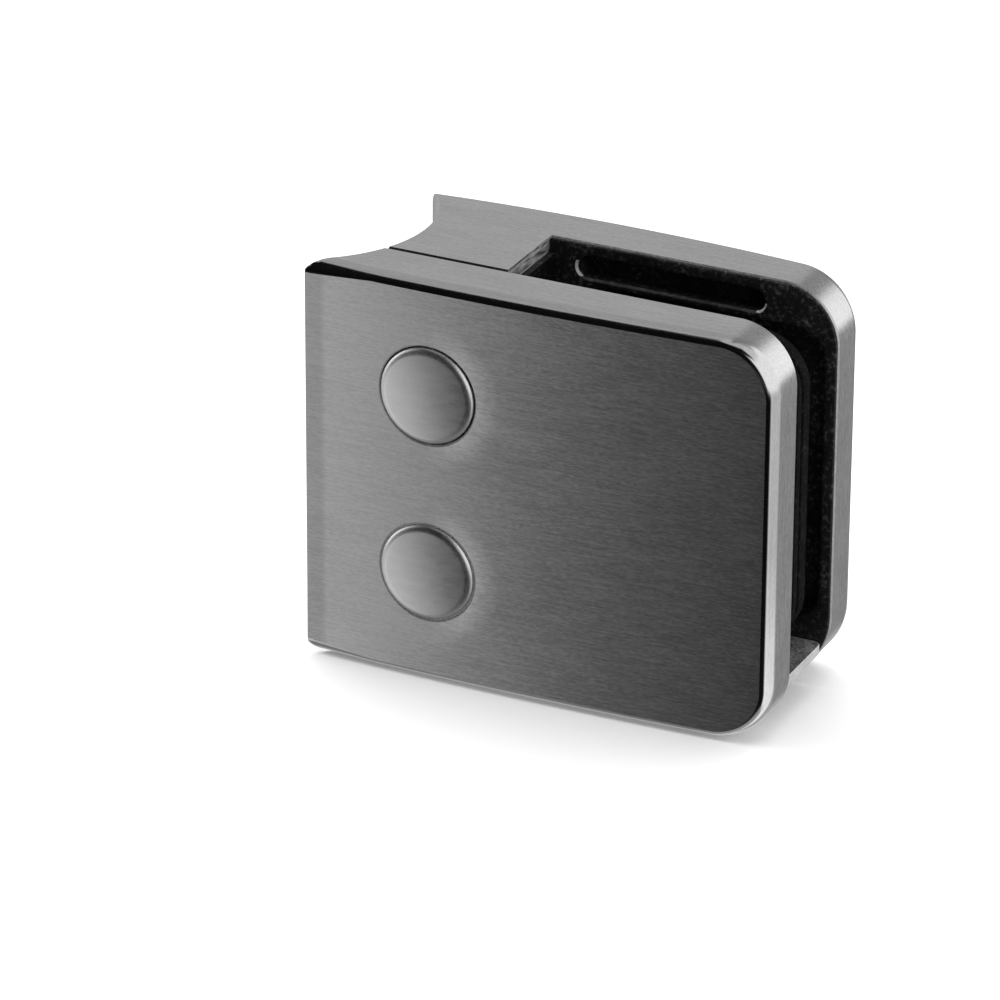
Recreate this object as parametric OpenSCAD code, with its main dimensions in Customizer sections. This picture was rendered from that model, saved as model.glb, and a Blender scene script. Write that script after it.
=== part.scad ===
// Glass panel clamp for a round post: two castings with rubber pads between.
// X runs from the post side to the open end, Y from the front to the rear, Z up.
// The work frame of the modules starts at the front of the post side, on the
// bottom; put() moves it so that the origin is the middle of the bottom.

/* [Body] */
// Open end of the two plates
width = 79; // [76:0.5:82]
// Height of the two plates
height = 67; // [64:0.5:70]
// Slot face of the rear plate
slot_rear = 24.3; // [24.1:0.1:24.6]
// Slot face of the front cover
slot_front = 8.8; // [8.4:0.1:9.2]
// Rear face at the two ends
rear_ends = 32.35; // [32:0.1:33]
// Rise of the rear face in the middle
rear_crown = 2.37; // [1.6:0.05:2.8]
// Crown of the front face, furthest out
front_out = 1.45; // [1.1:0.05:1.7]
// Radius of the crowned front face
front_r = 693; // [600:10:800]
// Corner radius of the plates at the open end
corner_r = 9.5; // [8.5:0.25:11]
// Lower corner radius of the rear plate
corner_low = 12; // [11:0.25:12.5]
// Front edge round, across the face
edge_z = 1.5; // [1.2:0.1:1.8]
// Front edge round, along the depth
edge_y = 2.6; // [2:0.1:2.8]
// Rear edge round
edge_rear = 2.0; // [1.6:0.1:2.2]

/* [Post] */
// Radius of the post and its saddle
post_r = 21.2; // [21:0.05:21.4]
// Post axis, along the width
post_x = -9.4; // [-9.6:0.05:-9.2]
// Post axis, along the depth
post_y = 17.9; // [17.7:0.05:18.1]
// Post bolt hole
bolt_d = 9; // [8.6:0.1:9.4]
// Counterbore of the post bolt
bolt_cb_d = 14.5; // [14:0.1:15]
// Depth of the counterbore
bolt_cb = 8.8; // [8:0.1:10]

/* [Block] */
// Slot side of the block
block_x = 30.3; // [30:0.1:31]
// Gap between the block and the cover
seam = 0.15; // [0.1:0.01:0.3]

/* [Clamp screws] */
// Screws, along the width
screw_x = 21.8; // [21.2:0.1:22]
// Distance of the screws from mid height
screw_dz = 14.95; // [14.5:0.05:15.3]
// Diameter of the domed head
head_d = 15.9; // [15.6:0.05:16]
// Radius of the dome on the head
dome_r = 80; // [60:5:100]
// Diameter of its seat in the cover
head_seat_d = 16.3; // [16.3:0.05:16.8]
// Depth of the seat
head_seat = 2.0; // [1.6:0.1:2.4]
// Diameter of the sleeve
sleeve_d = 11; // [10.8:0.05:11.1]
// End of the sleeve
sleeve_end = 20; // [18:0.5:20]
// Screw diameter
screw_d = 8; // [7.98:0.01:8.02]
// Sleeve bore
sleeve_bore = 8.08; // [8.06:0.01:8.1]
// Diameter of the socket head
cap_d = 13; // [12.7:0.05:13.2]
// Height of the socket head
cap_h = 8; // [7:0.25:8]
// Seat of the socket head
cap_y = 25.2; // [24.8:0.1:25.6]
// Counterbore of the socket head
cap_bore = 14.6; // [14.2:0.1:14.9]

/* [Pads] */
// Face of the rear pad
pad_rear = 23.7; // [23.6:0.05:23.8]
// Face of the front pad
pad_front = 14.8; // [14.2:0.1:15.2]
// Pocket in the rear plate
pocket = 3.9; // [3:0.1:4.2]
// Depth of the recesses in the rear pad
recess = 3.2; // [2:0.1:3.4]
// Slot near the top edge, left end
slit_x0 = 35.1; // [34.6:0.1:36]
// Slot near the top edge, right end
slit_x1 = 66.8; // [65:0.1:67.5]
// Width of the slot
slit_w = 3.6; // [3:0.1:3.8]

/* [Safety plate] */
// Top of the foot
foot_top = 8.2; // [7.6:0.1:8.8]
// Thickness
foot_t = 1.6; // [1.5:0.05:2]
// Open end of the foot
foot_x1 = 78.2; // [76.5:0.1:78.4]
// Gap between the foot and the rear pad
foot_gap = 0.9; // [0.6:0.1:1.5]
// Top of the leg
leg_top = 27; // [25:0.5:27]

/* [Hidden] */
W = width;
H = height;
rc = corner_r;
x_cut = 0.6;                       // blunt front horn
head_top = -front_out - 0.85;      // crest of the domed heads
y_far = rear_ends + rear_crown;
x_mid = (x_cut + W) / 2;
y_mid = (head_top + y_far) / 2;
rear_r = (W * W / 4 + rear_crown * rear_crown) / (2 * rear_crown);
screw_z = [H / 2 + screw_dz, H / 2 - screw_dz];
wrap_x = block_x + 1.2;
steel = [0.46, 0.46, 0.46];
bright = [0.60, 0.60, 0.59];
dark = [0.07, 0.07, 0.075];
nt = 14;                           // steps along the top
nc = 10;                           // steps round a corner
nl = 5;                            // steps over an edge round
x_in = -4;                         // start of the plates, cut off by the saddle

// crowned faces: cylinders with an upright axis
function y_front(x) = front_r - front_out - sqrt(front_r * front_r - pow(x - 27, 2));
function y_rear(x) = y_far - rear_r + sqrt(rear_r * rear_r - pow(x - W / 2, 2));

// inset of the edge round, which widens toward the post
function inset(x, d, grow) = d + d * grow * max(0, 12 - x) / 12;

// half of an outline with corner radius r; the steps along x suit radius q >= r
function half(d, grow, r, q) = [for (i = [0:nt + nc])
    let (t = i <= nt ? 90 : 90 - 90 * (i - nt) / nc,
         x = i <= nt ? x_in + (W - q - x_in) * i / nt : W - q + (q - d) * cos(t),
         u = max(0, x - W + r),
         z = u <= 0 ? H - inset(x, d, grow) : H - r + sqrt(max(0, pow(r - d, 2) - u * u)))
    [x, z]];

// ring of a plate: s is -1 for the front face, 1 for the rear, 0 for a flat at y
function ring(d, grow, s, y, low) =
    let (a = half(d, grow, rc, low), b = half(d, grow, low, low), n = len(a),
         yy = [for (p = a) s == 0 ? y : s < 0 ? y_front(p[0]) + y : y_rear(p[0]) - y])
    concat([for (i = [0:n - 1]) [a[i][0], yy[i], a[i][1]]],
        [for (i = [n - 1:-1:0]) [b[i][0], yy[i], H - b[i][1]]]);

// plate with a crowned outer face and rounded outer edges; low is the radius
// of its lower corner
module plate(base, s, ez, ey, grow, low) {
    rings = concat([ring(0, 0, 0, base, low)],
        [for (k = [0:nl]) let (a = 90 * k / nl)
            ring(ez * (1 - cos(a)), grow, s, ey * (1 - sin(a)), low)]);
    n = 2 * (nt + nc + 1);
    m = len(rings);
    f = concat([for (i = [0:n / 2 - 2]) [i, n - 1 - i, n - 2 - i, i + 1]],
        [for (k = [0:m - 2], i = [0:n - 1]) let (j = (i + 1) % n)
            [k * n + i, k * n + j, (k + 1) * n + j]],
        [for (k = [0:m - 2], i = [0:n - 1]) let (j = (i + 1) % n)
            [k * n + i, (k + 1) * n + j, (k + 1) * n + i]],
        [for (i = [0:n / 2 - 2]) let (b = (m - 1) * n)
            [b + i, b + i + 1, b + n - 2 - i, b + n - 1 - i]]);
    polyhedron(points = [for (r = rings) each r],
        faces = s < 0 ? f : [for (q = f) [for (i = [len(q) - 1:-1:0]) q[i]]]);
}

module put() translate([-x_mid, -y_mid, 0]) children();
// cylinder along Y from y0 to y1
module rod(x, z, d, y0, y1, fn = 64)
    translate([x, y0, z]) rotate([-90, 0, 0]) cylinder(d = d, h = y1 - y0, $fn = fn);
module cone(x, z, d0, d1, y0, y1, fn = 64)
    translate([x, y0, z]) rotate([-90, 0, 0]) cylinder(d1 = d0, d2 = d1, h = y1 - y0, $fn = fn);
// plate across Y with right corners of radius r, left corners of radius q and
// its own radius for the lower right corner
module slab(x0, x1, z0, z1, y0, y1, r, q, low = 0)
    translate([0, y1, 0]) rotate([90, 0, 0]) linear_extrude(y1 - y0) union() {
        m = max(r, low);
        translate([x0 + q, z0]) square([x1 - m - x0 - q, z1 - z0]);
        if (m > r) translate([x1 - m - 0.01, z0 + m]) square([m - r + 0.01, z1 - z0 - m]);
        translate([x1 - r - 0.01, z0 + m]) square([r + 0.01, z1 - z0 - m - r]);
        translate([x0, z0 + q]) square([q + 0.01, z1 - z0 - 2 * q]);
        translate([x1 - r, z1 - r]) circle(r = r, $fn = 64);
        translate([x1 - m, z0 + m]) circle(r = m, $fn = 64);
        for (z = [z0 + q, z1 - q]) translate([x0 + q, z]) circle(r = q, $fn = 32);
    }
module post(extra = 0)
    translate([post_x, post_y, -1]) cylinder(r = post_r + extra, h = H + 2, $fn = 180);

module rear_body() color(steel) put() difference() {
    union() {
        plate(slot_rear, 1, edge_rear, edge_rear, 0.3, corner_low);
        translate([x_in, slot_front + seam, 0])
            cube([block_x - x_in, slot_rear + 1 - slot_front - seam, H]);
    }
    post();
    // bores of the clamp screws and sleeves
    for (z = screw_z) {
        rod(screw_x, z, sleeve_d + 0.8, slot_front - 1, sleeve_end + 1);
        rod(screw_x, z, screw_d + 1, sleeve_end, cap_y + 1);
        rod(screw_x, z, cap_bore, cap_y, y_far + 1);
    }
    // post bolt hole with its counterbore on the slot side
    translate([0, post_y, H / 2]) rotate([0, 90, 0]) cylinder(d = bolt_d, h = block_x + 1, $fn = 64);
    translate([block_x - bolt_cb, post_y, H / 2]) rotate([0, 90, 0])
        cylinder(d = bolt_cb_d, h = bolt_cb + 1, $fn = 64);
    // pocket of the rear pad
    slab(block_x + 1.4, W - 1.3, 1.3, H - 1.3, slot_rear - 1, slot_rear + pocket,
        rc - 1.3, 1.5, corner_low - 1.3);
}

module front_cover() color(steel) put() difference() {
    plate(slot_front, -1, edge_z, edge_y, 0.75, rc);
    post();
    translate([x_in - 1, -5, -1]) cube([x_cut - x_in + 1, 8, H + 2]);
    for (z = screw_z) {
        rod(screw_x, z, head_seat_d, -6, head_seat);
        cone(screw_x, z, head_seat_d + 0.8, head_seat_d, -front_out - 0.1, -front_out + 0.3);
        rod(screw_x, z, sleeve_d + 0.2, 0, slot_front + 1);
    }
    // pocket of the safety plate's leg, with its two tapped holes
    translate([37.9, slot_front - foot_t - 0.1, foot_top - foot_t - 0.1])
        cube([36.2, 4, leg_top - foot_top + foot_t + 0.2]);
    for (x = [46, 66]) {
        rod(x, 19, 4.06, 1.6, slot_front);
        cone(x, 19, 3.7, 8.3, slot_front - 2.2, slot_front + 0.1, 48);
    }
    // sockets of the pad's pegs
    for (x = [42, 66], z = [34, 50]) rod(x, z, 6.1, slot_front - 3.3, slot_front + 1);
}

module sleeve_nut(z) color(bright) put() difference() {
    union() {
        intersection() {
            union() {
                rod(screw_x, z, head_d, head_top + 1, head_seat - 0.05, 96);
                cone(screw_x, z, head_d - 1.2, head_d, head_top + 0.4, head_top + 1, 96);
                rod(screw_x, z, head_d - 1.2, head_top - 0.5, head_top + 0.4, 96);
            }
            translate([screw_x, head_top + dome_r, z]) sphere(r = dome_r, $fn = 240);
        }
        rod(screw_x, z, sleeve_d, head_seat - 0.5, sleeve_end);
    }
    rod(screw_x, z, sleeve_bore, 3.5, sleeve_end + 1);
    cone(screw_x, z, sleeve_bore - 0.2, sleeve_bore + 1.6, sleeve_end - 0.8, sleeve_end + 0.1);
}
module sleeve_nut_upper() sleeve_nut(screw_z[0]);
module sleeve_nut_lower() sleeve_nut(screw_z[1]);

module clamp_screw(z) color(bright) put() difference() {
    union() {
        rod(screw_x, z, screw_d, 5.2, cap_y + 1);
        cone(screw_x, z, screw_d - 2, screw_d, 4.2, 5.2);
        rod(screw_x, z, cap_d, cap_y + 0.05, cap_y + cap_h - 0.5);
        cone(screw_x, z, cap_d, cap_d - 1, cap_y + cap_h - 0.5, cap_y + cap_h);
    }
    // hexagon socket
    rod(screw_x, z, 6 / cos(30), cap_y + cap_h - 4, cap_y + cap_h + 1, 6);
}
module clamp_screw_upper() clamp_screw(screw_z[0]);
module clamp_screw_lower() clamp_screw(screw_z[1]);

module rear_pad() color(dark) put() difference() {
    union() {
        // flange over the whole slot face, and the part in the pocket
        slab(block_x + 0.1, W - 0.15, 0.15, H - 0.15, pad_rear, slot_rear - 0.05,
            rc - 0.15, 0.2, corner_low - 0.15);
        slab(block_x + 1.5, W - 1.4, 1.4, H - 1.4, slot_rear - 0.5, slot_rear + pocket - 0.05,
            rc - 1.4, 1.4, corner_low - 1.4);
        // part along the block
        translate([block_x + 0.1, slot_front + 0.5, 2.4])
            cube([wrap_x - block_x - 0.1, slot_rear - slot_front - 0.7, H - 4.8]);
    }
    // the top corner of the part along the block stays clear of its end
    translate([block_x, pad_rear - 2, H - 0.6]) rotate([0, 45, 0]) cube([0.2, 4, 0.2]);
    slab(slit_x0, slit_x1, H - 3.9 - slit_w / 2, H - 3.9 + slit_w / 2,
        pad_rear - 1, pad_rear + recess, slit_w / 2 - 0.01, slit_w / 2 - 0.01);
    slab(36, W - 2.2, 11, H - 7, pad_rear - 1, pad_rear + recess, 5, 5);
}

module front_pad() color(dark) put() difference() {
    union() {
        slab(wrap_x + 0.5, W - 1.3, foot_top + 4.3, H - 4.5, slot_front + 0.05, pad_front, rc - 2.4, 1.5);
        slab(wrap_x + 0.2, W - 0.4, foot_top + 4, H - 3.8, slot_front + 1.1, slot_front + 2.8, rc - 1.5, 1.8);
        slab(wrap_x + 0.2, W - 0.4, foot_top + 4, H - 3.8, slot_front + 3.3, pad_front, rc - 1.5, 1.8);
        for (x = [42, 66], z = [34, 50]) rod(x, z, 6, slot_front - 3, slot_front + 1, 48);
    }
    slab(38, W - 6, foot_top + 10, H - 10, pad_front - 1.5, pad_front + 1, 4, 4);
}

module safety_plate() color(bright) put() difference() {
    union() {
        translate([38, slot_front - foot_t, foot_top - foot_t]) cube([36, foot_t, leg_top - foot_top + foot_t]);
        translate([38, slot_front - 1, foot_top - foot_t]) cube([36, 2, foot_t]);
        // foot, with its rear corner at the open end cut round
        translate([0, 0, foot_top - foot_t]) linear_extrude(foot_t) polygon([
            [wrap_x + 0.8, slot_front + 0.1], [foot_x1, slot_front + 0.1],
            [foot_x1, pad_rear - foot_gap - 1.2], [foot_x1 - 0.35, pad_rear - foot_gap - 0.35],
            [foot_x1 - 1.2, pad_rear - foot_gap], [wrap_x + 0.8, pad_rear - foot_gap]]);
    }
    for (x = [46, 66]) {
        rod(x, 19, 4.3, 5, slot_front + 1, 48);
        cone(x, 19, 3.7, 8.3, slot_front - 2.2, slot_front + 0.1, 48);
    }
}

module plate_screw(x) color(bright) put() difference() {
    union() {
        rod(x, 19, 4, 2.8, slot_front - 0.1, 48);
        cone(x, 19, 3, 4, 2.3, 2.8, 48);
        cone(x, 19, 3.7, 7.7, slot_front - 2.1, slot_front - 0.1, 48);
    }
    rod(x, 19, 2.5 / cos(30), slot_front - 1.5, slot_front + 1, 6);
}
module plate_screw_left() plate_screw(46);
module plate_screw_right() plate_screw(66);

rear_body();
front_cover();
sleeve_nut_upper();
sleeve_nut_lower();
clamp_screw_upper();
clamp_screw_lower();
rear_pad();
front_pad();
safety_plate();
plate_screw_left();
plate_screw_right();
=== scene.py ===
import math

import bpy
import bmesh
import numpy as np
from mathutils import Matrix, Vector


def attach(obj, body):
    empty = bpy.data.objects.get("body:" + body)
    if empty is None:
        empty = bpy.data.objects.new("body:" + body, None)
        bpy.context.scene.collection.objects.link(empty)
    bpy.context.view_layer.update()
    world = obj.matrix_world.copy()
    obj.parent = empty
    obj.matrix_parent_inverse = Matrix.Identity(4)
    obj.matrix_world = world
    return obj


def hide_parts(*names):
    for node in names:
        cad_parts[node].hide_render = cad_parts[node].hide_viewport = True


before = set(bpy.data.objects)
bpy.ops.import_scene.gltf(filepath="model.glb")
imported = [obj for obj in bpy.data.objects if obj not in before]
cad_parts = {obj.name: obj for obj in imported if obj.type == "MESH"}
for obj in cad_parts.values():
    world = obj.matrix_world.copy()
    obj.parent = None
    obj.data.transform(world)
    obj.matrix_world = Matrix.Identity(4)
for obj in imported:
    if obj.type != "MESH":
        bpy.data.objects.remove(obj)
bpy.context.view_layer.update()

# ---------------------------------------------------------------- dimensions
# Work frame in millimetres, as the CAD modules have it: x from the post side,
# y from the front, z from the bottom. OFF moves it to the row frame.
W, H, RC, RLOW = 79.0, 67.0, 9.5, 12.0
X_CUT = 0.6
FRONT_OUT, FRONT_R = 1.45, 693.0
REAR_ENDS, REAR_CROWN = 32.35, 2.37
SLOT_F, SLOT_R = 8.8, 24.3
EDGE_Z, EDGE_Y, EDGE_R = 1.5, 2.6, 2.0
POST_R, POST_X, POST_Y = 21.2, -9.4, 17.9
BLOCK_X, SEAM = 30.3, 0.15
SX, SZ = 21.8, (48.45, 18.55)
HEAD_D, SEAT_D = 15.9, 16.3
HEAD_TOP, DOME_R = -FRONT_OUT - 0.85, 80.0
Y_FAR = REAR_ENDS + REAR_CROWN
REAR_R = (W * W / 4 + REAR_CROWN ** 2) / (2 * REAR_CROWN)
WRAP = BLOCK_X + 1.2
PAD_R, PAD_F = 23.7, 14.8
FOOT, FOOT_T, FOOT_X, FOOT_GAP = 8.2, 1.6, 78.2, 0.9
OFF = np.array([(X_CUT + W) / 2, (HEAD_TOP + Y_FAR) / 2, 0.0])


def y_front(x):
    return FRONT_R - FRONT_OUT - np.sqrt(FRONT_R ** 2 - (x - 27) ** 2)


def y_rear(x):
    return Y_FAR - REAR_R + np.sqrt(REAR_R ** 2 - (x - W / 2) ** 2)


# ---------------------------------------------------------------- mesh helpers
def make(name, pts, faces):
    """A mesh object from points in the work frame."""
    me = bpy.data.meshes.new(name)
    p = (np.asarray(pts, float).reshape(-1, 3) - OFF) * 0.001
    me.from_pydata([tuple(v) for v in p], [], [tuple(int(i) for i in f) for f in faces])
    o = bpy.data.objects.new(name, me)
    bpy.context.scene.collection.objects.link(o)
    bm = bmesh.new()
    bm.from_mesh(me)
    bmesh.ops.remove_doubles(bm, verts=bm.verts, dist=1e-8)
    bmesh.ops.recalc_face_normals(bm, faces=bm.faces)
    bm.to_mesh(me)
    bm.free()
    return o


def loft(rings, cap0=True, cap1=True):
    """Points and faces of closed rings joined in order."""
    n = len(rings[0])
    pts = np.concatenate([np.asarray(r, float) for r in rings])
    f = []
    for k in range(len(rings) - 1):
        a, b = k * n, (k + 1) * n
        for i in range(n):
            j = (i + 1) % n
            f.append((a + i, a + j, b + j, b + i))
    if cap0:
        f.append(tuple(range(n))[::-1])
    if cap1:
        f.append(tuple(range((len(rings) - 1) * n, len(rings) * n)))
    return pts, f


def lathe(name, prof, x, z, seg=128, wave=None):
    """Turned piece about the Y axis through x, z. prof is a list of (radius, y)."""
    t = np.linspace(0, 2 * np.pi, seg, endpoint=False)
    pts, rows = [], []
    for k, (r, y) in enumerate(prof):
        if r < 1e-6:
            rows.append([len(pts)])
            pts.append((x, y, z))
        else:
            rr = r + (wave(k, t) if wave else 0 * t)
            rows.append(list(range(len(pts), len(pts) + seg)))
            pts += [(x + q * math.cos(a), y, z + q * math.sin(a)) for q, a in zip(rr, t)]
    f = []
    for a, b in zip(rows[:-1], rows[1:]):
        for i in range(seg):
            j = (i + 1) % seg
            if len(a) == 1:
                f.append((a[0], b[j], b[i]))
            elif len(b) == 1:
                f.append((a[i], a[j], b[0]))
            else:
                f.append((a[i], a[j], b[j], b[i]))
    return make(name, pts, f)


def rrect(x0, x1, z0, z1, r, q, n=12, low=None):
    """Outline in X and Z with corner radius r on the right and q on the left."""
    out = []
    k = r if low is None else low
    for cx, cz, rr, a0 in ((x1 - r, z1 - r, r, 90), (x1 - k, z0 + k, k, 0),
                           (x0 + q, z0 + q, q, -90), (x0 + q, z1 - q, q, -180)):
        for k in range(n + 1):
            a = math.radians(a0 - 90 * k / n)
            out.append((cx + rr * math.cos(a), cz + rr * math.sin(a)))
    return np.array(out)


def slab(name, outline, y0, y1, r0=0.0, r1=0.0, steps=4):
    """Plate across Y from an outline, with its edges rounded by r0 and r1."""
    o = np.asarray(outline)
    c = o.mean(0)

    def inset(d):
        nx = np.roll(o, -1, 0) - np.roll(o, 1, 0)
        nn = np.stack([nx[:, 1], -nx[:, 0]], 1)
        nn /= np.maximum(np.linalg.norm(nn, axis=1, keepdims=True), 1e-9)
        s = np.sign(((o - c) * nn).sum(1).mean())
        return o - nn * s * d
    rings = []
    if r0 > 0:
        for k in range(steps):
            a = math.pi / 2 * k / steps
            q = inset(r0 * (1 - math.sin(a)))
            rings.append(np.stack([q[:, 0], np.full(len(q), y0 + r0 * (1 - math.cos(a))), q[:, 1]], 1))
    rings.append(np.stack([o[:, 0], np.full(len(o), y0 + r0), o[:, 1]], 1))
    rings.append(np.stack([o[:, 0], np.full(len(o), y1 - r1), o[:, 1]], 1))
    if r1 > 0:
        for k in range(1, steps + 1):
            a = math.pi / 2 * k / steps
            q = inset(r1 * (1 - math.cos(a)))
            rings.append(np.stack([q[:, 0], np.full(len(q), y1 - r1 * (1 - math.sin(a))), q[:, 1]], 1))
    return make(name, *loft(rings))


def rod(x, z, d, y0, y1, seg=96, d1=None):
    return lathe("cut", [(0, y0), (d / 2, y0), ((d if d1 is None else d1) / 2, y1), (0, y1)], x, z, seg)


def box(x0, x1, y0, y1, z0, z1):
    p = [(x, y, z) for x in (x0, x1) for y in (y0, y1) for z in (z0, z1)]
    return make("cut", p, [(0, 1, 3, 2), (4, 6, 7, 5), (0, 4, 5, 1), (2, 3, 7, 6), (0, 2, 6, 4), (1, 5, 7, 3)])


def round_z(cx, cy, r, z0, z1, seg=256):
    t = np.linspace(0, 2 * np.pi, seg, endpoint=False)
    ring = [np.stack([cx + r * np.cos(t), cy + r * np.sin(t), np.full(seg, z)], 1) for z in (z0, z1)]
    return make("cut", *loft(ring))


def rod_x(y, z, d, x0, x1, seg=64, d1=None):
    t = np.linspace(0, 2 * np.pi, seg, endpoint=False)
    ring = [np.stack([np.full(seg, x), y + r * np.cos(t), z + r * np.sin(t)], 1)
            for x, r in ((x0, d / 2), (x1, (d if d1 is None else d1) / 2))]
    return make("cut", *loft(ring))


def bake(o):
    """Applies the modifiers of o."""
    dg = bpy.context.evaluated_depsgraph_get()
    me = bpy.data.meshes.new_from_object(o.evaluated_get(dg))
    old = o.data
    o.modifiers.clear()
    o.data = me
    me.name = o.name
    bpy.data.meshes.remove(old)
    return o


def boolean(o, cutters, op="DIFFERENCE"):
    for c in cutters:
        m = o.modifiers.new("b", "BOOLEAN")
        m.object = c
        m.operation = op
        m.solver = "EXACT"
    bpy.context.view_layer.update()
    bake(o)
    for c in cutters:
        me = c.data
        bpy.data.objects.remove(c)
        bpy.data.meshes.remove(me)
    return o


def clean(o, dist=2e-6):
    bm = bmesh.new()
    bm.from_mesh(o.data)
    bmesh.ops.remove_doubles(bm, verts=bm.verts, dist=dist)
    bmesh.ops.dissolve_degenerate(bm, edges=bm.edges, dist=1e-7)
    bm.to_mesh(o.data)
    bm.free()
    return o


def bevel(o, width, angle=35, segments=2):
    m = o.modifiers.new("v", "BEVEL")
    m.width = width * 0.001
    m.segments = segments
    m.limit_method = "ANGLE"
    m.angle_limit = math.radians(angle)
    m.use_clamp_overlap = True
    m.miter_outer = "MITER_SHARP"
    bpy.context.view_layer.update()
    return bake(o)


def smooth(o, angle=32):
    me = o.data
    me.polygons.foreach_set("use_smooth", [True] * len(me.polygons))
    me.set_sharp_from_angle(angle=math.radians(angle))
    me.update()
    return o


def fair(o, angle=32, skin=None):
    """Smooth shading weighted by face area; skin is -1 or 1 where the piece has
    the crowned front or rear face, whose normals follow the crown exactly."""
    smooth(o, angle)
    m = o.modifiers.new("n", "WEIGHTED_NORMAL")
    m.mode = "FACE_AREA"
    m.weight = 60
    m.keep_sharp = True
    bpy.context.view_layer.update()
    bake(o)
    if skin:
        me = o.data
        nl = len(me.loops)
        nor = np.zeros(nl * 3)
        me.corner_normals.foreach_get("vector", nor)
        nor = nor.reshape(-1, 3)
        co = np.zeros(len(me.vertices) * 3)
        me.vertices.foreach_get("co", co)
        co = co.reshape(-1, 3) * 1000 + OFF
        for p in me.polygons:
            if p.normal.y * skin > 0.99:
                li = list(p.loop_indices)
                x = np.array([co[me.loops[i].vertex_index][0] for i in li])
                y = np.array([co[me.loops[i].vertex_index][1] for i in li])
                if np.abs(y - (y_front(x) if skin < 0 else y_rear(x))).max() < 0.05:
                    t = (x - 27) / np.sqrt(FRONT_R ** 2 - (x - 27) ** 2) if skin < 0 else \
                        (x - W / 2) / np.sqrt(REAR_R ** 2 - (x - W / 2) ** 2)
                    q = np.stack([t, np.full(len(x), float(skin)), 0 * x], 1)
                    nor[li] = q / np.linalg.norm(q, axis=1, keepdims=True)
        me.normals_split_custom_set([tuple(v) for v in nor])
    return o


# ---------------------------------------------------------------- materials
def material(name):
    m = bpy.data.materials.new(name)
    m.use_nodes = True
    nt = m.node_tree
    for n in list(nt.nodes):
        nt.nodes.remove(n)
    out = nt.nodes.new("ShaderNodeOutputMaterial")
    b = nt.nodes.new("ShaderNodeBsdfPrincipled")
    nt.links.new(b.outputs[0], out.inputs[0])
    return m, nt, b


def noise(nt, scale, detail=4, rough=0.55, seed=0.0, coords=None, mult=1.0):
    """Noise in object space; scale is three numbers per metre."""
    tc = coords or nt.nodes.new("ShaderNodeTexCoord")
    mp = nt.nodes.new("ShaderNodeMapping")
    mp.inputs["Scale"].default_value = scale
    mp.inputs["Location"].default_value = (seed, seed * 1.7, seed * 0.6)
    nt.links.new(tc.outputs["Object"], mp.inputs["Vector"])
    n = nt.nodes.new("ShaderNodeTexNoise")
    n.inputs["Scale"].default_value = mult
    n.inputs["Detail"].default_value = detail
    n.inputs["Roughness"].default_value = rough
    nt.links.new(mp.outputs[0], n.inputs["Vector"])
    return n


def ramp(nt, src, stops):
    r = nt.nodes.new("ShaderNodeValToRGB")
    e = r.color_ramp.elements
    while len(e) < len(stops):
        e.new(0.5)
    for k, (p, c) in enumerate(stops):
        e[k].position = p
        e[k].color = (c, c, c, 1) if not hasattr(c, "__len__") else (*c, 1)
    nt.links.new(src, r.inputs[0])
    return r


def maprange(nt, src, a0, a1, b0, b1):
    n = nt.nodes.new("ShaderNodeMapRange")
    for k, v in zip(("From Min", "From Max", "To Min", "To Max"), (a0, a1, b0, b1)):
        n.inputs[k].default_value = v
    nt.links.new(src, n.inputs["Value"])
    return n


def math_node(nt, op, a, b):
    n = nt.nodes.new("ShaderNodeMath")
    n.operation = op
    for k, v in enumerate((a, b)):
        if isinstance(v, (int, float)):
            n.inputs[k].default_value = v
        else:
            nt.links.new(v, n.inputs[k])
    return n


def vec(nt, v):
    n = nt.nodes.new("ShaderNodeCombineXYZ")
    for i in range(3):
        n.inputs[i].default_value = v[i]
    return n


def grey(nt, src):
    n = nt.nodes.new("ShaderNodeCombineColor")
    for i in range(3):
        nt.links.new(src, n.inputs[i])
    return n


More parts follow.
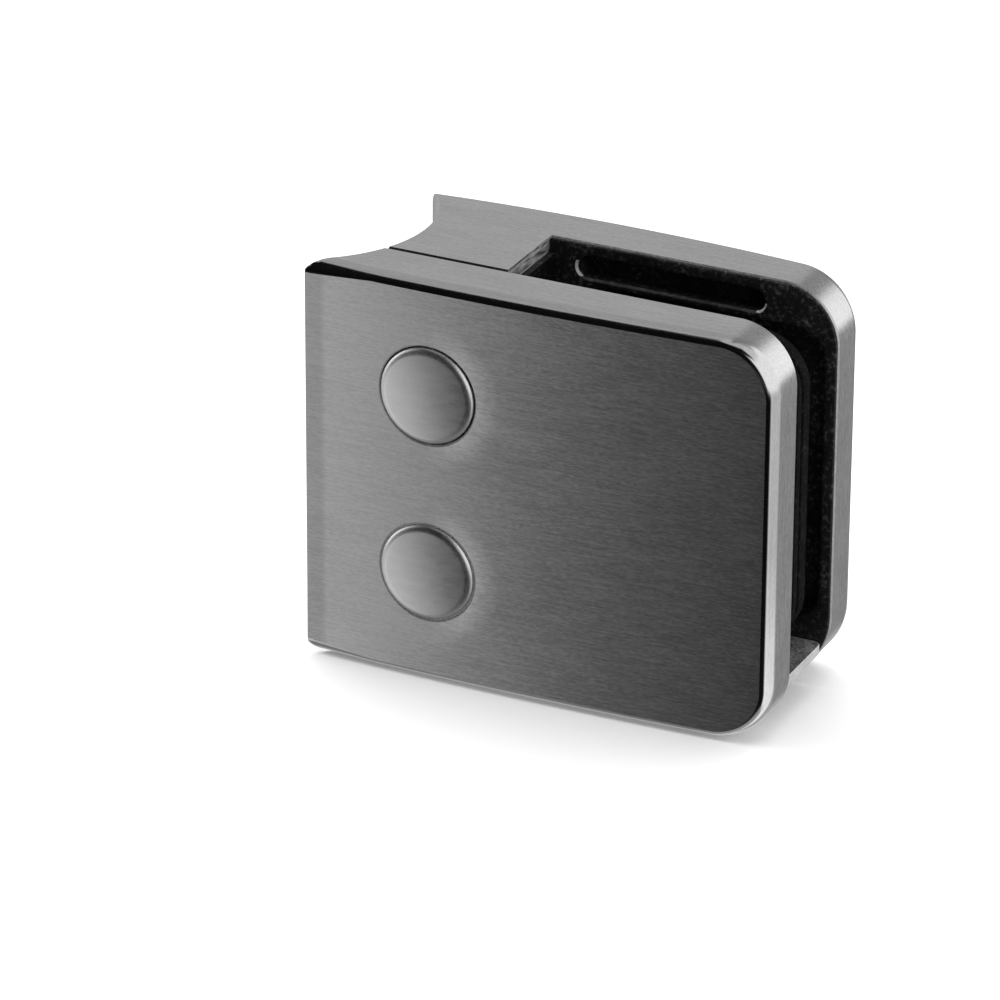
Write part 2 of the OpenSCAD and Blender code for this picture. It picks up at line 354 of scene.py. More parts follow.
def brushed(name, lo, hi, rough=(0.26, 0.42), aniso=0.65, tan=(0, 0, 1), streak=(1000, 4700, 4700), bump=0.10,
            cross=False, left=None, glow=0.0, low=0.0):
    """Brushed stainless: fine long streaks in colour, gloss and height. With
    cross the streaks run up and down where the surface faces the open end.
    left paints shade: a darker strip by the left edge; glow paints a highlight,
    brighter beside and to the right of the heads; low paints a highlight on the lower part of the open end."""
    m, nt, b = material(name)

    def grain(sc, seed):
        f = noise(nt, sc, 2, 0.62, seed)
        g = noise(nt, tuple(v * (0.15 if v == min(sc) else 0.7) for v in sc), 1, 0.5, seed + 2.8)
        return math_node(nt, "ADD", math_node(nt, "MULTIPLY", f.outputs["Fac"], 0.66).outputs[0],
                         math_node(nt, "MULTIPLY", g.outputs["Fac"], 0.34).outputs[0]).outputs[0]
    s = grain(streak, 0.3)
    if cross:
        geo = nt.nodes.new("ShaderNodeNewGeometry")
        sp = nt.nodes.new("ShaderNodeSeparateXYZ")
        nt.links.new(geo.outputs["True Normal"], sp.inputs[0])
        ax = math_node(nt, "ABSOLUTE", sp.outputs[0], 0.0)
        w = maprange(nt, ax.outputs[0], 0.45, 0.85, 0.0, 1.0)
        up = grain((streak[1], streak[1], streak[0]), 5.2)
        s = math_node(nt, "ADD", math_node(nt, "MULTIPLY", math_node(nt, "SUBTRACT", up, s).outputs[0], w.outputs[0]).outputs[0],
                      s).outputs[0]
    cloud = noise(nt, (60, 160, 160), 2, 0.55, 7.7)
    s2 = math_node(nt, "ADD", math_node(nt, "MULTIPLY", s, 0.82).outputs[0],
                   math_node(nt, "MULTIPLY", cloud.outputs["Fac"], 0.18).outputs[0])
    c = maprange(nt, s2.outputs[0], 0.38, 0.62, lo, hi)
    col = c.outputs[0]
    if left or low:
        tc = nt.nodes.new("ShaderNodeTexCoord")
        sx = nt.nodes.new("ShaderNodeSeparateXYZ")
        nt.links.new(tc.outputs["Object"], sx.inputs[0])
    # painted highlight: base colour brighter on the lower part of the open end
    if low:
        w = maprange(nt, sx.outputs[2], (6 - OFF[2]) / 1000, (33 - OFF[2]) / 1000, low, 0.0).outputs[0]
        q = maprange(nt, sx.outputs[0], (66 - OFF[0]) / 1000, (74 - OFF[0]) / 1000, 0.0, 1.0).outputs[0]
        gain = math_node(nt, "ADD", math_node(nt, "MULTIPLY", w, q).outputs[0], 1.0).outputs[0]
        col = math_node(nt, "MULTIPLY", col, gain).outputs[0]
    # painted shade: base colour darker in a strip by the left edge
    if left:
        w = maprange(nt, sx.outputs[0], (left[0] - OFF[0]) / 1000, (left[1] - OFF[0]) / 1000, left[2], 1.0)
        col = math_node(nt, "MULTIPLY", col, w.outputs[0]).outputs[0]
    # painted highlight: base colour brighter on the face beside and to the right of the heads
    if glow:
        mid, half = (SZ[0] + SZ[1]) / 2, (SZ[0] - SZ[1]) / 2
        dx = math_node(nt, "SUBTRACT", sx.outputs[0], (SX - OFF[0]) / 1000).outputs[0]
        dz = math_node(nt, "SUBTRACT", sx.outputs[2], (mid - OFF[2]) / 1000).outputs[0]
        dz = math_node(nt, "SUBTRACT", math_node(nt, "ABSOLUTE", dz, 0.0).outputs[0], half / 1000).outputs[0]
        d2 = math_node(nt, "ADD", math_node(nt, "MULTIPLY", dx, dx).outputs[0],
                       math_node(nt, "MULTIPLY", dz, dz).outputs[0]).outputs[0]
        d = math_node(nt, "SQRT", d2, 0.0).outputs[0]
        near = maprange(nt, d, 0.0085, 0.0125, glow, 0.0).outputs[0]
        w = maprange(nt, dx, 0.0, 0.006, 0.0, 1.0).outputs[0]
        gain = math_node(nt, "ADD", math_node(nt, "MULTIPLY", near, w).outputs[0], 1.0).outputs[0]
        col = math_node(nt, "MULTIPLY", col, gain).outputs[0]
    nt.links.new(grey(nt, col).outputs[0], b.inputs["Base Color"])
    r = maprange(nt, s2.outputs[0], 0.35, 0.65, rough[0], rough[1])
    nt.links.new(r.outputs[0], b.inputs["Roughness"])
    b.inputs["Metallic"].default_value = 1.0
    b.inputs["Anisotropic"].default_value = aniso
    if aniso > 0:
        nt.links.new(vec(nt, tan).outputs[0], b.inputs["Tangent"])
    bp = nt.nodes.new("ShaderNodeBump")
    bp.inputs["Strength"].default_value = bump
    bp.inputs["Distance"].default_value = 0.00004
    nt.links.new(s, bp.inputs["Height"])
    nt.links.new(bp.outputs[0], b.inputs["Normal"])
    return m


def cast(name, lo, hi, rough=(0.4, 0.6), bump=0.5, grain=2600, metal=1.0):
    """Investment-cast skin: fine even grain."""
    m, nt, b = material(name)
    g = noise(nt, (grain, grain, grain), 5, 0.6, 1.2)
    k = noise(nt, (300, 300, 300), 3, 0.5, 4.4)
    s = math_node(nt, "ADD", math_node(nt, "MULTIPLY", g.outputs["Fac"], 0.7).outputs[0],
                  math_node(nt, "MULTIPLY", k.outputs["Fac"], 0.3).outputs[0])
    c = maprange(nt, s.outputs[0], 0.38, 0.62, lo, hi)
    nt.links.new(grey(nt, c.outputs[0]).outputs[0], b.inputs["Base Color"])
    r = maprange(nt, s.outputs[0], 0.35, 0.65, rough[0], rough[1])
    nt.links.new(r.outputs[0], b.inputs["Roughness"])
    b.inputs["Metallic"].default_value = metal
    bp = nt.nodes.new("ShaderNodeBump")
    bp.inputs["Strength"].default_value = bump
    bp.inputs["Distance"].default_value = 0.00008
    nt.links.new(s.outputs[0], bp.inputs["Height"])
    nt.links.new(bp.outputs[0], b.inputs["Normal"])
    return m


def sawn(name, lo, hi):
    """Rough end of the block: coarse uneven streaks from front to back."""
    m, nt, b = material(name)
    g = noise(nt, (2000, 260, 1700), 5, 0.6, 3.1)
    c = maprange(nt, g.outputs["Fac"], 0.36, 0.64, lo, hi)
    nt.links.new(grey(nt, c.outputs[0]).outputs[0], b.inputs["Base Color"])
    b.inputs["Roughness"].default_value = 0.62
    b.inputs["Metallic"].default_value = 0.3
    bp = nt.nodes.new("ShaderNodeBump")
    bp.inputs["Strength"].default_value = 0.8
    bp.inputs["Distance"].default_value = 0.00015
    nt.links.new(g.outputs["Fac"], bp.inputs["Height"])
    nt.links.new(bp.outputs[0], b.inputs["Normal"])
    return m


def rubber(name, lo=0.003, hi=0.009, speck=0.078, rough=(0.5, 0.68), spec=0.25):
    """Moulded black rubber with a fine grain and pale specks of talc."""
    m, nt, b = material(name)
    g = noise(nt, (2600, 2600, 2600), 4, 0.65, 0.4)
    k = noise(nt, (1500, 1500, 1500), 5, 0.68, 6.1)
    s = noise(nt, (150, 150, 150), 3, 0.5, 2.2)
    dots = maprange(nt, k.outputs["Fac"], 0.52, 0.68, 0.0, speck)
    base = maprange(nt, s.outputs["Fac"], 0.3, 0.7, lo, hi)
    patch = maprange(nt, s.outputs["Fac"], 0.35, 0.65, 0.25, 1.0)
    add = math_node(nt, "MULTIPLY", dots.outputs[0], patch.outputs[0])
    tot = math_node(nt, "ADD", base.outputs[0], add.outputs[0])
    nt.links.new(grey(nt, tot.outputs[0]).outputs[0], b.inputs["Base Color"])
    r = maprange(nt, g.outputs["Fac"], 0.3, 0.7, rough[0], rough[1])
    nt.links.new(r.outputs[0], b.inputs["Roughness"])
    b.inputs["Specular IOR Level"].default_value = spec
    bp = nt.nodes.new("ShaderNodeBump")
    bp.inputs["Strength"].default_value = 0.7
    bp.inputs["Distance"].default_value = 0.00012
    nt.links.new(g.outputs["Fac"], bp.inputs["Height"])
    nt.links.new(bp.outputs[0], b.inputs["Normal"])
    return m


# the face carries painted shade in a strip by its left edge and a painted highlight beside the heads
M_FACE = brushed("steel_face", 0.455, 0.645, rough=(0.17, 0.27), aniso=0.75, bump=0.16, left=(3.2, 4.2, 0.81), glow=0.55)
M_EDGE = brushed("steel_edge", 0.47, 0.62, rough=(0.17, 0.27), aniso=0.5, tan=(0, 1, 0), cross=True)
# the rounds carry a painted highlight on the lower part of the open end
M_RIM = brushed("steel_rim", 0.45, 0.53, rough=(0.10, 0.15), aniso=0.0, bump=0.03, cross=True, low=0.8)
M_CAST = cast("steel_cast", 0.40, 0.60)
# painted shade: a darker, less metallic copy of the cast steel for the groove round the heads
M_SEAT_SHADE = cast("steel_seat_shade", 0.30, 0.44, rough=(0.5, 0.65), bump=0.3, metal=0.5)
M_ROUGH = sawn("steel_rough", 0.03, 0.46)
M_BORE = brushed("steel_bore", 0.35, 0.44, rough=(0.18, 0.30), aniso=0.4, tan=(0, 0, 1), streak=(3600, 3600, 60))
M_HEAD = brushed("steel_head", 0.60, 0.68, rough=(0.25, 0.31), aniso=0.0, streak=(320, 320, 900), bump=0.03)
M_LIP = brushed("steel_lip", 0.56, 0.64, rough=(0.36, 0.42), aniso=0.0, streak=(900, 900, 900), bump=0.02)
M_SCREW = brushed("steel_screw", 0.46, 0.60, rough=(0.2, 0.34), aniso=0.0, streak=(900, 900, 900), bump=0.05)
M_PLATE = brushed("steel_plate", 0.42, 0.58, rough=(0.26, 0.40), aniso=0.3, tan=(0, 1, 0), bump=0.1)
# the plate top's cast grain, painted dark as the shade it lies in inside the slot
M_PLATE_TOP_SHADE = cast("steel_plate_grain_and_shade", 0.02, 0.24, rough=(0.5, 0.7), bump=0.7, grain=2200, metal=0.2)
M_PLATE_END = cast("steel_plate_end", 0.44, 0.60, rough=(0.45, 0.6), bump=0.3, metal=0.4)
M_RUBBER = rubber("rubber_black")
# painted shade: a darker copy of the rubber for the front pad and the panel over the block end
M_RUBBER_SHADE = rubber("rubber_shade", 0.002, 0.005, 0.02, (0.7, 0.85), 0.04)
# painted highlights: pale rubber on the rounded ends of the slot, fainter on its lower lip
M_RUBBER_HIGHLIGHT = rubber("rubber_highlight", 0.34, 0.56, 0.2, (0.25, 0.4), 0.4)
M_RUBBER_LOW_HIGHLIGHT = rubber("rubber_lip_highlight", 0.02, 0.05, 0.12, (0.4, 0.55))


def put(o, mats, body, slot, *nodes):
    me = o.data
    index = [p.material_index for p in me.polygons]
    me.materials.clear()
    for m in (mats if isinstance(mats, (list, tuple)) else [mats]):
        me.materials.append(m)
    me.polygons.foreach_set("material_index", index)
    me.update()
    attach(o, body)
    if nodes:
        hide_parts(*nodes)
    return o


def paint(o, rule):
    """Material index of each face from its centre (work frame, mm) and normal."""
    for p in o.data.polygons:
        c = np.array(p.center) * 1000 + OFF
        p.material_index = rule(c, p.normal)


# ---------------------------------------------------------------- castings
def plate(name, base, s, ez, ey, grow, low, nt=64, nc=36, nl=14):
    """Crowned plate with rounded outer edges: rings from the slot face outward.
    low is the radius of its lower corner."""
    xs = np.linspace(-4, W - low, nt + 1)
    ts = np.radians(90 - 90 * np.arange(1, nc + 1) / nc)

    def ring(d, g, y):
        x = np.concatenate([xs, W - low + (low - d) * np.cos(ts)])
        ins = d + d * g * np.maximum(0, 12 - x) / 12
        yy = np.full(len(x), y[1]) if y[0] == "flat" else (y_front(x) + y[1] if s < 0 else y_rear(x) - y[1])

        def z(r):
            u = np.maximum(0, x - W + r)
            return np.where(u <= 0, H - ins, H - r + np.sqrt(np.maximum(0, (r - d) ** 2 - u * u)))
        return np.concatenate([np.stack([x, yy, z(RC)], 1), np.stack([x, yy, H - z(low)], 1)[::-1]])
    ch = 0.35
    rings = [ring(ch, 0, ("flat", base)), ring(0, 0, ("flat", base + s * ch))]
    for k in range(nl + 1):
        a = math.pi / 2 * k / nl
        rings.append(ring(ez * (1 - math.cos(a)), grow, ("skin", ey * (1 - math.sin(a)))))
    pts, f = loft(rings, True, False)
    n = len(rings[0])
    b = (len(rings) - 1) * n
    for i in range(n // 2 - 1):
        f.append((b + i, b + i + 1, b + n - 2 - i, b + n - 1 - i))
    return make(name, pts, f)


cover = plate("front_plate", SLOT_F, -1, EDGE_Z, EDGE_Y, 0.75, RC)
cuts = [round_z(POST_X, POST_Y, POST_R, -1, H + 1), box(-6, X_CUT, -5, 3, -1, H + 1)]
for z in SZ:
    cuts += [rod(SX, z, SEAT_D, -6, 2.0, 128), rod(SX, z, 11.2, 0, 10),
             rod(SX, z, SEAT_D + 0.8, -FRONT_OUT - 0.1, -FRONT_OUT + 0.3, 128, SEAT_D - 0.01)]
cuts += [box(37.9, 74.1, SLOT_F - FOOT_T - 0.1, SLOT_F + 2, FOOT - FOOT_T - 0.1, 27.1)]
for x in (42, 66):
    for z in (34, 50):
        cuts.append(rod(x, z, 6.1, SLOT_F - 3.3, SLOT_F + 1, 48))
boolean(cover, cuts)
clean(cover)
bevel(cover, 0.2, 40, 2)
fair(cover, skin=-1)


def steel_rule(skin):
    """0 crowned face, with painted shade by its left edge and a painted highlight beside
    the heads, 1 cast inner faces, 2 edge rounds, with a painted highlight low on the open end,
    3 edge band, 4 saddle, 5 rough end of the block, 6 seats of the heads, in darker steel as painted shade."""
    def rule(c, n):
        x, y, z = c
        if abs(math.hypot(x - POST_X, y - POST_Y) - POST_R) < 0.06 and x < 14:
            return 4
        if skin < 0 and min(math.hypot(x - SX, z - SZ[0]), math.hypot(x - SX, z - SZ[1])) < 8.6 and y < 3:
            return 6
        if n.y * skin > 0.99 and abs(y - (y_front(x) if skin < 0 else y_rear(x))) < 0.06:
            return 0
        if n.y * skin < -0.5 and abs(y - (SLOT_F if skin < 0 else SLOT_R)) < 0.3:
            return 1
        if skin > 0 and n.x > 0.7 and x < BLOCK_X + 0.2:
            return 5
        if n.y * skin > 0.04 and (min(z, H - z) < 2.9 or x > W - 2.9 or
                                  math.hypot(x - W + RC, z - H + RC) > RC - 2.9 and x > W - RC):
            return 2
        if min(math.hypot(x - SX, z - SZ[0]), math.hypot(x - SX, z - SZ[1])) < 8.3:
            return 1
        return 3
    return rule


paint(cover, steel_rule(-1))
STEEL = [M_FACE, M_CAST, M_RIM, M_EDGE, M_BORE, M_ROUGH, M_SEAT_SHADE]
put(cover, STEEL, "cover", "cast_steel", "front_cover")

body = plate("rear_casting", SLOT_R, 1, EDGE_R, EDGE_R, 0.3, RLOW)
boolean(body, [box(-4.0, BLOCK_X, SLOT_F + SEAM, SLOT_R + 2, 0, H)], "UNION")
cuts = [round_z(POST_X, POST_Y, POST_R, -1, H + 1)]
for z in SZ:
    cuts += [rod(SX, z, 11.8, SLOT_F - 1, 21), rod(SX, z, 9, 20, 26), rod(SX, z, 14.6, 25.2, 36)]
for z, q in ((H, 0.38), (0, -0.38)):
    y = SLOT_F + SEAM
    cuts.append(make("cut", [(x, a, b) for x in (-6, BLOCK_X + 0.5)
                             for a, b in ((y - 0.2, z + q), (y + 0.38 + 0.2, z + q * 0.53), (y - 0.2, z - q * 1.53))],
                     [(0, 1, 2), (5, 4, 3), (0, 3, 4, 1), (1, 4, 5, 2), (2, 5, 3, 0)]))
cuts += [rod_x(POST_Y, H / 2, 9, 0, BLOCK_X + 1), rod_x(POST_Y, H / 2, 14.5, BLOCK_X - 8.8, BLOCK_X + 1),
         slab("cut", rrect(BLOCK_X + 1.4, W - 1.3, 1.3, H - 1.3, RC - 1.3, 1.5, low=RLOW - 1.3), SLOT_R - 1, SLOT_R + 3.9)]
boolean(body, cuts)
clean(body)
bevel(body, 0.3, 40, 3)
fair(body, skin=1)
paint(body, steel_rule(1))
put(body, STEEL, "body", "cast_steel", "rear_body")

# ---------------------------------------------------------------- sleeve nuts
for tag, z in zip(("upper", "lower"), SZ):
    R, h, q, d = DOME_R, HEAD_D / 2, 1.15, 0.85
    rim = HEAD_TOP + R - math.sqrt(R * R - (h - q) ** 2)
    prof = [(0, HEAD_TOP)]
    for k in range(1, 15):
        r = (h - q) * k / 14
        prof.append((r, HEAD_TOP + R - math.sqrt(R * R - r * r)))
    s0 = math.asin((h - q) / R)
    for k in range(1, 10):
        a = s0 + (math.radians(86) - s0) * k / 9
        prof.append((h - q + q * (math.sin(a) - math.sin(s0)) / (1 - math.sin(s0)),
                     rim + d * (math.cos(s0) - math.cos(a))))
    prof += [(h, rim + d + 0.05), (h, 1.8), (h - 0.15, 1.95),
             (5.6, 1.95), (5.5, 2.1), (5.5, 19.6), (5.2, 20.0), (4.7, 20.0), (4.04, 19.2), (4.04, 3.5), (0, 3.5)]
    nut = lathe("sleeve_" + tag, prof, SX, z, 128)
    smooth(nut, 28)
    paint(nut, lambda c, n: 1 if n.y > -0.985 and c[1] < 0.5 else 0)
    put(nut, [M_HEAD, M_LIP], "cover", "head_steel", "sleeve_nut_" + tag)

# ---------------------------------------------------------------- clamp screws
for tag, z in zip(("upper", "lower"), SZ):
    prof = [(0, 4.2), (3.0, 4.2), (4.0, 5.2), (4.0, 25.0), (4.2, 25.25), (6.2, 25.25), (6.42, 25.45),
            (6.42, 25.6), (6.42, 32.4), (6.42, 32.5), (6.3, 32.85), (6.0, 33.1), (5.6, 33.2), (0, 33.2)]
    knurl = {7, 8}

    def wave(k, t):
        return 0.07 * np.sign(np.sin(60 * t + 1e-6)) * (1 if k in knurl else 0)
    scr = lathe("cap_screw_" + tag, prof, SX, z, 240, wave)
    t = np.radians(60 * np.arange(6) + 30)
    hexa = np.stack([SX + 6 / math.sqrt(3) * np.cos(t), z + 6 / math.sqrt(3) * np.sin(t)], 1)
    boolean(scr, [slab("cut", hexa, 29.2, 35), rod(SX, z, 6.3, 32.9, 34.0, 48, 8.5)])
    smooth(scr, 28)
    put(scr, M_SCREW, "screw_" + tag, "screw_steel", "clamp_screw_" + tag)

# ---------------------------------------------------------------- pads
rp = slab("pad_back", rrect(BLOCK_X + 0.1, W - 0.15, 0.15, H - 0.15, RC - 0.15, 0.3, 20, RLOW - 0.15),
          PAD_R, SLOT_R - 0.05, 0.25, 0, 4)
boolean(rp, [slab("cut", rrect(BLOCK_X + 1.5, W - 1.4, 1.4, H - 1.4, RC - 1.4, 1.4, 20, RLOW - 1.4), SLOT_R - 0.4, SLOT_R + 3.85),
             box(BLOCK_X + 0.1, WRAP, SLOT_F + 0.5, SLOT_R - 0.2, 2.4, H - 2.4)], "UNION")
SLIT = (35.1, 66.8, H - 3.9 - 1.8, H - 3.9 + 1.8)
LIP = 0.45


def mouth(x0, x1, z0, z1, q, r, depth, n=16):
    """Cutter for a recess whose mouth in the rear pad is rounded by r."""
    rows = [(r, PAD_R - 1)] + [(r * (1 - math.sin(a)), PAD_R + r * (1 - math.cos(a)))
                               for a in np.linspace(0, math.pi / 2, 7)] + [(0, PAD_R + depth)]
    out = []
    for e, y in rows:
        o = rrect(x0 - e, x1 + e, z0 - e, z1 + e, q + e, q + e, n)
        out.append(np.stack([o[:, 0], np.full(len(o), y), o[:, 1]], 1))
    return make("cut", *loft(out))


boolean(rp, [mouth(*SLIT, 1.79, LIP, 3.2), mouth(36, W - 2.2, 11, H - 7, 5, 0.6, 3.2)])
clean(rp)
smooth(rp, 40)


def pad_rule(c, n):
    """1 and 2 on the rounded mouth of the slot near the top edge, in pale rubber as painted
    highlights where the rounding catches light (2 fainter, on the lower lip), 3 on the panel
    that covers the end of the block, in a darker copy of the rubber as painted shade."""
    x, y, z = c
    if n.x > 0.5 and x < WRAP + 0.2:
        return 3
    dx = max(0, SLIT[0] + 1.8 - x, x - SLIT[1] + 1.8)
    d = math.hypot(dx, z - H + 3.9)
    if not (-0.93 < n.y < -0.05 and 1.7 < d < 1.85 + LIP and y < PAD_R + LIP):
        return 0
    up = z - H + 3.9
    if x < 50:
        return 1 if dx > 0.5 and -1.6 < up < 0.9 else 2 if up < -1 else 0
    return 1 if dx > 0.4 and -1.95 < up < -0.2 else 2 if up < -1 else 0


paint(rp, pad_rule)
put(rp, [M_RUBBER, M_RUBBER_HIGHLIGHT, M_RUBBER_LOW_HIGHLIGHT, M_RUBBER_SHADE], "body", "pad_rubber", "rear_pad")

fp = slab("pad_front", rrect(WRAP + 0.5, W - 1.3, FOOT + 4.3, H - 4.5, RC - 2.4, 1.5), SLOT_F + 0.05, PAD_F - 1)
boolean(fp, [slab("cut", rrect(WRAP + 0.2, W - 0.4, FOOT + 4, H - 3.8, RC - 1.5, 1.8, 16), SLOT_F + 1.1, SLOT_F + 2.8, 0.3, 0.3, 3),
             slab("cut", rrect(WRAP + 0.2, W - 0.4, FOOT + 4, H - 3.8, RC - 1.5, 1.8, 16), SLOT_F + 3.3, PAD_F, 0.3, 0.5, 4)]
        + [rod(x, z, 6, SLOT_F - 3, SLOT_F + 0.5, 48) for x in (42, 66) for z in (34, 50)], "UNION")
boolean(fp, [slab("cut", rrect(38, W - 6, FOOT + 10, H - 10, 4, 4), PAD_F - 1.5, PAD_F + 1)])
clean(fp)
smooth(fp, 40)
# the front pad is in the darker rubber copy: painted shade
put(fp, M_RUBBER_SHADE, "cover", "pad_rubber", "front_pad")

# ---------------------------------------------------------------- safety plate
FY = PAD_R - FOOT_GAP
foot = [(WRAP + 0.8, SLOT_F + 0.1), (FOOT_X, SLOT_F + 0.1)]
foot += [(FOOT_X - 1.2 + 1.2 * math.cos(t), FY - 1.2 + 1.2 * math.sin(t)) for t in np.linspace(0, math.pi / 2, 9)]
foot = np.array(foot + [(WRAP + 0.8, FY)])
sp = make("shelf_plate", *loft([np.stack([foot[:, 0], foot[:, 1], np.full(len(foot), z)], 1) for z in (FOOT - FOOT_T, FOOT)]))
boolean(sp, [box(38, 74, SLOT_F - FOOT_T, SLOT_F, FOOT - FOOT_T, 27), box(38, 74, SLOT_F - 1, SLOT_F + 1, FOOT - FOOT_T, FOOT)], "UNION")
boolean(sp, [rod(x, 19, 4.3, 5, 10, 48) for x in (46, 66)]
        + [rod(x, 19, 3.7, SLOT_F - 2.2, SLOT_F + 0.1, 48, 8.3) for x in (46, 66)])
clean(sp)
bevel(sp, 0.3, 35, 3)
fair(sp, 40)
paint(sp, lambda c, n: 1 if n.z > 0.9 else 2 if n.x > 0.3 and c[0] > 76 else 0)
put(sp, [M_PLATE, M_PLATE_TOP_SHADE, M_PLATE_END], "cover", "plate_steel", "safety_plate")

for n in ("plate_screw_left", "plate_screw_right"):
    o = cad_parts[n]
    o.data.materials.clear()
    o.data.materials.append(M_SCREW)

# ---------------------------------------------------------------- stage
floor_me = bpy.data.meshes.new("floor")
floor_me.from_pydata([(-6, -6, 0), (6, -6, 0), (6, 6, 0), (-6, 6, 0)], [], [(0, 1, 2, 3)])
floor = bpy.data.objects.new("floor", floor_me)
bpy.context.scene.collection.objects.link(floor)
floor.location = (0, 0, -0.0002)
mf, ntf, bf = material("paper")
g = noise(ntf, (300, 300, 300), 3, 0.5, 0.2)
cf = ramp(ntf, g.outputs["Fac"], [(0.3, 0.885), (0.7, 0.895)])
ntf.links.new(cf.outputs[0], bf.inputs["Base Color"])
bf.inputs["Roughness"].default_value = 0.95
bf.inputs["Specular IOR Level"].default_value = 0.1
bf.inputs["Emission Color"].default_value = (1, 1, 1, 1)
bf.inputs["Emission Strength"].default_value = 0.12
floor_me.materials.append(mf)

floor.visible_glossy = False

world = bpy.data.worlds.new("studio")
bpy.context.scene.world = world
world.use_nodes = True
wt = world.node_tree
bg = wt.nodes["Background"]
tc = wt.nodes.new("ShaderNodeTexCoord")
sep = wt.nodes.new("ShaderNodeSeparateXYZ")
wt.links.new(tc.outputs["Generated"], sep.inputs[0])
az_n = math_node(wt, "MULTIPLY", math_node(wt, "ARCTAN2", math_node(wt, "MULTIPLY", sep.outputs[0], -1.0).outputs[0],
                 math_node(wt, "MULTIPLY", sep.outputs[1], -1.0).outputs[0]).outputs[0], 57.29578)
el_n = math_node(wt, "MULTIPLY", math_node(wt, "ARCSINE", sep.outputs[2], 0.0).outputs[0], 57.29578)
AZN, ELN = az_n.outputs[0], el_n.outputs[0]


def step(src, lo, hi, up=True):
    """Soft step from lo to hi degrees."""
    n = maprange(wt, src, lo, hi, 0.0 if up else 1.0, 1.0 if up else 0.0)
    n.interpolation_type = "SMOOTHSTEP"
    return n.outputs[0]


def mul(*v):
    out = v[0]
    for q in v[1:]:
        out = math_node(wt, "MULTIPLY", out, q).outputs[0]
    return out


def blend(a, b, t):
    """a where t is 0, b where t is 1."""
    d = math_node(wt, "SUBTRACT", b, a).outputs[0]
    return math_node(wt, "ADD", mul(d, t), a).outputs[0]


# Sky of soft panels round the part, in degrees: azimuth 0 is in front of the
# front face and positive to its left, elevation is above the floor.
down = step(ELN, -16, -2, False)
high = step(ELN, 38, 50)
rear = math_node(wt, "MAXIMUM", step(AZN, 118, 142), step(AZN, -150, -128, False)).outputs[0]
rear = math_node(wt, "MAXIMUM", rear, mul(step(AZN, 90, 100), high)).outputs[0]
level = blend(1.0, 0.56, rear)
level = blend(level, 0.44, mul(step(AZN, 118, 142), step(ELN, -24, -2, False)))
level = blend(level, 0.34, mul(step(AZN, -150, -128, False), down))
level = blend(level, 0.85, mul(step(AZN, -150, -128), step(AZN, -88, -66, False), down))
level = blend(level, 0.75, step(ELN, 60, 78))
# bright strips to the left and to the right
level = blend(level, 2.3, mul(step(AZN, 66, 82), step(AZN, 108, 124, False), step(ELN, -12, -4), step(ELN, 20, 36, False)))
level = blend(level, 0.36, mul(math_node(wt, "MAXIMUM", step(AZN, -166, -156, False), step(AZN, 166, 176)).outputs[0], step(ELN, -6, 4)))
level = blend(level, 1.5, mul(step(AZN, -164, -154), step(AZN, -42, -28, False), step(ELN, -12, -2), step(ELN, 40, 54, False)))
level = blend(level, 0.60, mul(step(AZN, 66, 92), down))
# low in front: pale on the left, falling away to black on the right
fall = ramp(wt, maprange(wt, AZN, 10, 50, 0, 1).outputs[0],
            [(0.05, 0.005), (0.175, 0.095), (0.275, 0.13), (0.35, 0.19), (0.4125, 0.33), (0.475, 0.60), (0.525, 0.66),
             (0.6, 0.64), (0.75, 0.9), (1.0, 1.25)]).outputs[0]
level = blend(level, fall, mul(step(AZN, -74, -52), step(AZN, 46, 54, False), down))
# straight down, under the front edge
level = blend(level, 0.30, mul(step(AZN, -100, -80), step(AZN, 100, 120, False), step(ELN, -56, -40, False)))
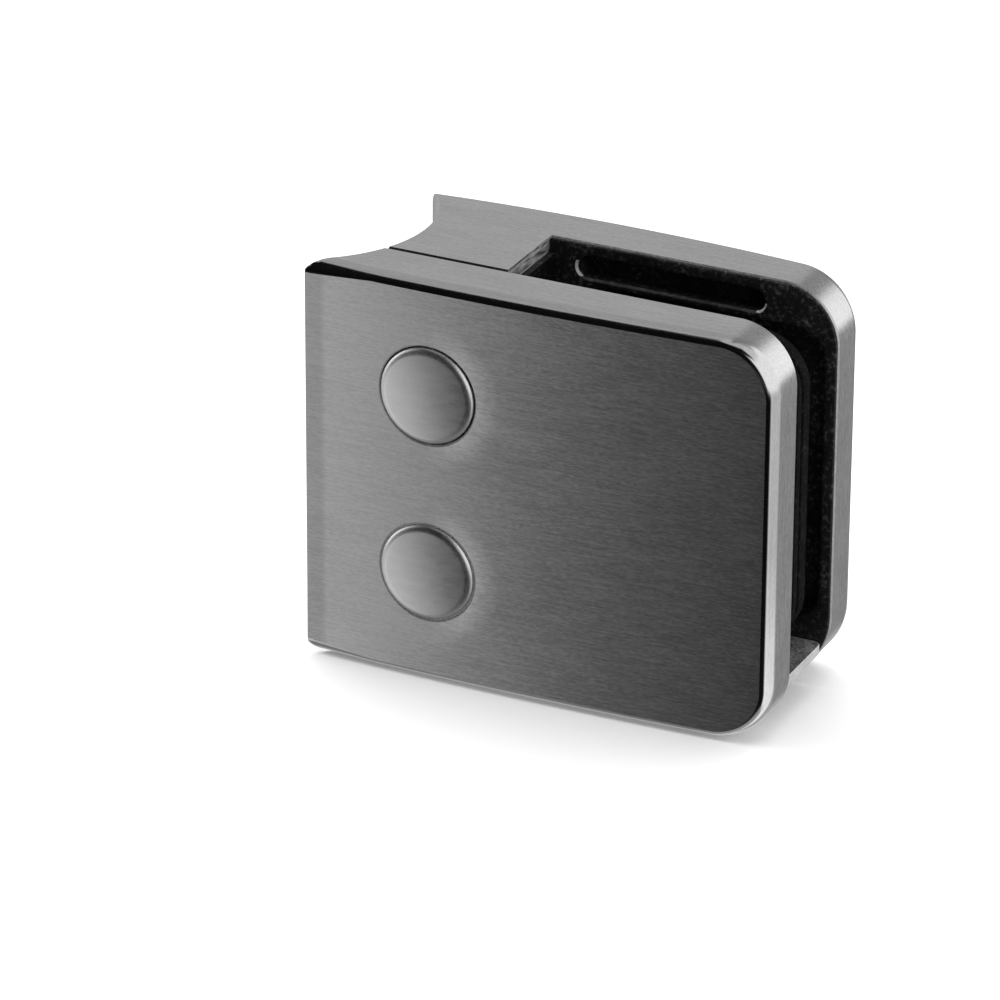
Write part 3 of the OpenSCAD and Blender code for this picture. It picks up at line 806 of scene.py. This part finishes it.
# black flag in front of the part
left = math_node(wt, "MAXIMUM", step(AZN, 54, 80, False), mul(step(AZN, 92, 104, False), high)).outputs[0]
side = math_node(wt, "MAXIMUM", step(AZN, -46, -28), mul(step(AZN, -78, -56), high)).outputs[0]
level = blend(level, 0.006, mul(side, left, step(ELN, -14, -8), step(ELN, 70, 76, False)))
lp = wt.nodes.new("ShaderNodeLightPath")
level = blend(level, 1.0, lp.outputs["Is Camera Ray"])
cc = wt.nodes.new("ShaderNodeCombineColor")
for i in range(3):
    wt.links.new(level, cc.inputs[i])
wt.links.new(cc.outputs[0], bg.inputs[0])
bg.inputs[1].default_value = 1.0


def area(name, loc, target, size, power, size_y=None, glossy=False):
    d = bpy.data.lights.new(name, "AREA")
    d.energy = power
    d.size = size
    if size_y:
        d.shape = "RECTANGLE"
        d.size_y = size_y
    o = bpy.data.objects.new(name, d)
    bpy.context.scene.collection.objects.link(o)
    o.location = loc
    o.rotation_euler = (Vector(target) - Vector(loc)).to_track_quat("-Z", "Y").to_euler()
    o.visible_glossy = glossy
    return o


area("overhead", (-0.4, 0.2, 1.6), (0, 0, 0), 2.6, 46)

# ---------------------------------------------------------------- camera
AZ, EL, RO = math.radians(25.951), math.radians(25.242), math.radians(0.31)
S = 1.34
fwd = np.array([-math.sin(AZ) * math.cos(EL), math.cos(AZ) * math.cos(EL), -math.sin(EL)])
right = np.array([math.cos(AZ), math.sin(AZ), 0.0])
up = np.cross(right, fwd)
r2 = math.cos(RO) * right + math.sin(RO) * up
u2 = -math.sin(RO) * right + math.cos(RO) * up
c0 = np.array([28.0, 12.0, 25.0])
eye = ((c0 - 7.8748 * r2 - 4.4798 * u2 - 744.782 * fwd) * S - OFF) * 0.001
cam_d = bpy.data.cameras.new("camera")
cam = bpy.data.objects.new("camera", cam_d)
bpy.context.scene.collection.objects.link(cam)
cam_d.sensor_width = 36
cam_d.lens = 36 * 6433.49 / 1000
cam_d.clip_start = 0.05
cam_d.clip_end = 50
m = Matrix(((r2[0], u2[0], -fwd[0], eye[0]), (r2[1], u2[1], -fwd[1], eye[1]), (r2[2], u2[2], -fwd[2], eye[2]), (0, 0, 0, 1)))
cam.matrix_world = m
bpy.context.scene.camera = cam
bpy.context.scene.view_settings.view_transform = "Standard"

bpy.context.view_layer.update()
